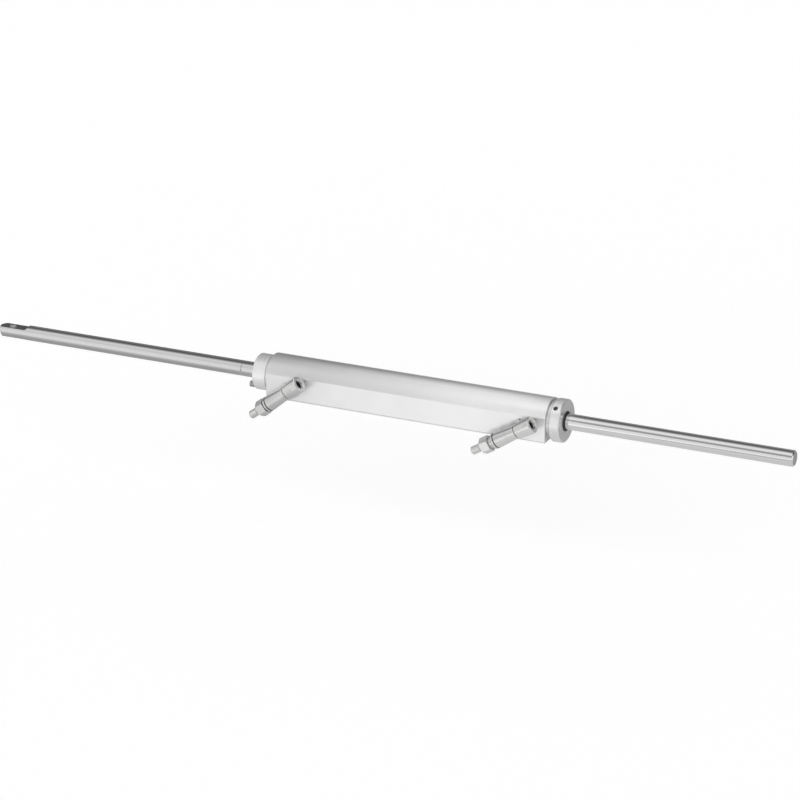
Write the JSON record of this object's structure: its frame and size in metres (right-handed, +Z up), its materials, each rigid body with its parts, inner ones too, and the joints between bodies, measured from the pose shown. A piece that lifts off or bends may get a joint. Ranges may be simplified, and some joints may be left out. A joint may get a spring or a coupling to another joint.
{
  "type": "hydraulic steering cylinder",
  "caption": "Through-rod hydraulic steering cylinder: flat-fronted barrel, round nose, flanged head, drilled tang on the rod, and swivelling port fittings with bleed screws.",
  "frame": {"origin": "centre of the nose's end face, on the rod's axis", "axes": "+X along the rod towards its plain end, -Y out of the flat front with the ports, +Z up, towards the barrel's round top"},
  "size_m": [0.8773, 0.0631, 0.0602],
  "materials": {
    "silver_aluminium": "fine satin, silver anodised",
    "rod_chrome": "ground and hard-chromed, bright",
    "fitting_steel": "nickel-plated steel, satin",
    "bleed_steel": "stainless steel, turned",
    "dark_steel": "blackened steel",
    "spring_steel": "oiled spring steel",
    "piston_aluminium": "turned",
    "bush_bronze": "plain bearing bronze",
    "seal_rubber": "matt black nitrile",
    "white_plastic": "filled low-friction plastic"
  },
  "bodies": {
    "barrel": {"barrel": "silver_aluminium", "left_head": "silver_aluminium", "right_head": "silver_aluminium", "nose_lock_screw": "dark_steel", "head_oring_left": "seal_rubber", "rod_bush_left": "bush_bronze", "rod_seal_left": "seal_rubber", "rod_wiper_left": "seal_rubber", "port_adapter_left": "fitting_steel", "port_washer_left": "fitting_steel", "head_oring_right": "seal_rubber", "rod_bush_right": "bush_bronze", "rod_seal_right": "seal_rubber", "rod_wiper_right": "seal_rubber", "port_adapter_right": "fitting_steel", "port_washer_right": "fitting_steel"},
    "piston": {"piston": "piston_aluminium", "piston_seal": "white_plastic", "piston_bore_oring": "seal_rubber", "wear_ring_left": "white_plastic", "wear_ring_right": "white_plastic"},
    "rod": {"piston_rod": "rod_chrome", "tang_rod": "rod_chrome", "piston_snap_rings": "spring_steel"},
    "fitting_left": {"swivel_tee_left": "fitting_steel", "swivel_orings_left": "seal_rubber", "swivel_clip_left": "spring_steel"},
    "bleeder_left": {"bleed_screw_left": "bleed_steel"},
    "fitting_right": {"swivel_tee_right": "fitting_steel", "swivel_orings_right": "seal_rubber", "swivel_clip_right": "spring_steel"},
    "bleeder_right": {"bleed_screw_right": "bleed_steel"}
  },
  "joints": [
    {"name": "piston_slide", "type": "slide", "parent": "barrel", "child": "piston", "axis": [1, 0, 0], "range_m": [-0.203, 0]},
    {"name": "rod_spin", "type": "hinge", "parent": "piston", "child": "rod", "pos_m": [0.2712, 0, 0], "axis": [1, 0, 0], "continuous": true},
    {"name": "fitting_left_swivel", "type": "hinge", "parent": "barrel", "child": "fitting_left", "pos_m": [0.0444, -0.033, -0.0073], "axis": [0, -1, 0], "continuous": true},
    {"name": "bleed_screw_left_turn", "type": "hinge", "parent": "fitting_left", "child": "bleeder_left", "pos_m": [0.0251, -0.033, -0.0219], "axis": [-0.7976, 0, -0.6032], "range_deg": [0, 270]},
    {"name": "fitting_right_swivel", "type": "hinge", "parent": "barrel", "child": "fitting_right", "pos_m": [0.295, -0.033, -0.0073], "axis": [0, -1, 0], "continuous": true},
    {"name": "bleed_screw_right_turn", "type": "hinge", "parent": "fitting_right", "child": "bleeder_right", "pos_m": [0.27426, -0.033, -0.01976], "axis": [-0.8572, 0, -0.515], "range_deg": [-180, 180]}
  ]
}
